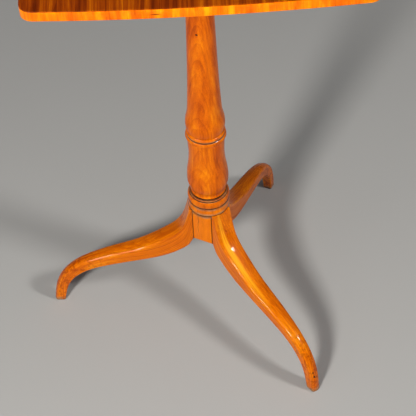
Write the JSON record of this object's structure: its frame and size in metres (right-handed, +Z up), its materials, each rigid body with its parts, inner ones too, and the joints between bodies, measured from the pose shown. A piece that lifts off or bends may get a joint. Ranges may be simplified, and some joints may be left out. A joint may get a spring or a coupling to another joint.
{
  "type": "tilt top table",
  "caption": "Pedestal table: a bowed rectangular top that tips upright on a turned pillar with three swept legs, held level by a slide bolt.",
  "frame": {"origin": "the floor point under the turned pillar's axis", "axes": "+Z up; the left leg points along -X, which is also the edge of the top that lifts; the pivot axis is along Y"},
  "size_m": [0.4248, 0.475, 0.74],
  "materials": {
    "satinwood": "glossy varnish",
    "satinwood_top": "glossy varnish",
    "edge_satinwood": "glossy varnish",
    "secondary_wood": "oiled",
    "beech": "oiled",
    "brass": "aged satin",
    "iron": "dull",
    "screw_steel": "dull"
  },
  "bodies": {
    "pedestal": {"column": "satinwood", "leg_left": "satinwood", "leg_front_right": "satinwood", "leg_back_right": "satinwood", "spider_plate": "iron", "spider_screws": "screw_steel", "block": "secondary_wood", "pivot_pin_front": "beech", "pivot_pin_back": "beech", "tenon_wedge": "beech", "keeper_plate": "brass", "keeper_screws": "brass"},
    "top": {"top_veneer": "satinwood_top", "edge_banding": "edge_satinwood", "core_board_left": "secondary_wood", "core_board_middle": "secondary_wood", "core_board_right": "secondary_wood", "batten_front": "secondary_wood", "batten_back": "secondary_wood", "batten_screws": "screw_steel", "catch_case": "brass", "case_screws": "brass"},
    "bolt": {"catch_bolt": "brass", "catch_knob": "brass"}
  },
  "joints": [
    {"name": "top_tilt", "type": "hinge", "parent": "pedestal", "child": "top", "pos_m": [0.044, 0, 0.7164], "axis": [0, 1, 0], "range_deg": [0, 90]},
    {"name": "catch_slide", "type": "slide", "parent": "top", "child": "bolt", "axis": [1, 0, 0], "range_m": [0, 0.01]}
  ]
}
